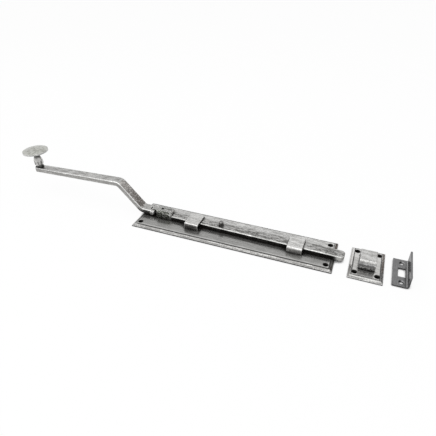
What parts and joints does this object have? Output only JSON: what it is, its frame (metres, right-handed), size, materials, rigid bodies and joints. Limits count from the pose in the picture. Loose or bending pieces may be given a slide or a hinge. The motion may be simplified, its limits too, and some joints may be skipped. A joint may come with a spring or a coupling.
{
  "type": "french door bolt",
  "caption": "Long bevelled surface bolt for french doors, with a sliding bar in two keepers, a hinged cranked pull arm with a domed knob, a bridged keep and an angle plate.",
  "frame": {"origin": "centre of the back plate's rear face, which lies against the door", "axes": "+X along the bar towards its nose, +Z out of the door, +Y across the plate"},
  "size_m": [0.4708, 0.051, 0.0593],
  "materials": {
    "pewter": "hand-burnished",
    "dark_pewter": "rough forged",
    "spring_steel": "satin",
    "dark_steel": "satin"
  },
  "bodies": {
    "plates": {"back_plate": "pewter", "rear_keeper": "pewter", "front_keeper": "pewter", "keep_plate": "pewter", "keep_bridge": "pewter", "angle_plate": "dark_steel"},
    "bolt": {"bolt_bar": "pewter", "stop_stud": "pewter", "friction_spring": "spring_steel", "knuckle_block": "dark_pewter", "knuckle_rivet": "dark_pewter"},
    "handle": {"pull_arm": "pewter", "swing_pin": "pewter", "knob_stem": "pewter", "knob_head": "pewter"}
  },
  "joints": [
    {"name": "bolt_slide", "type": "slide", "parent": "plates", "child": "bolt", "axis": [0.9998, -0.0192, 0], "range_m": [-0.0207, 0.0201]},
    {"name": "arm_lift", "type": "hinge", "parent": "bolt", "child": "handle", "pos_m": [-0.10076, 0.00409, 0.0069], "axis": [0.0192, 0.9998, 0], "range_deg": [0, 90]}
  ]
}
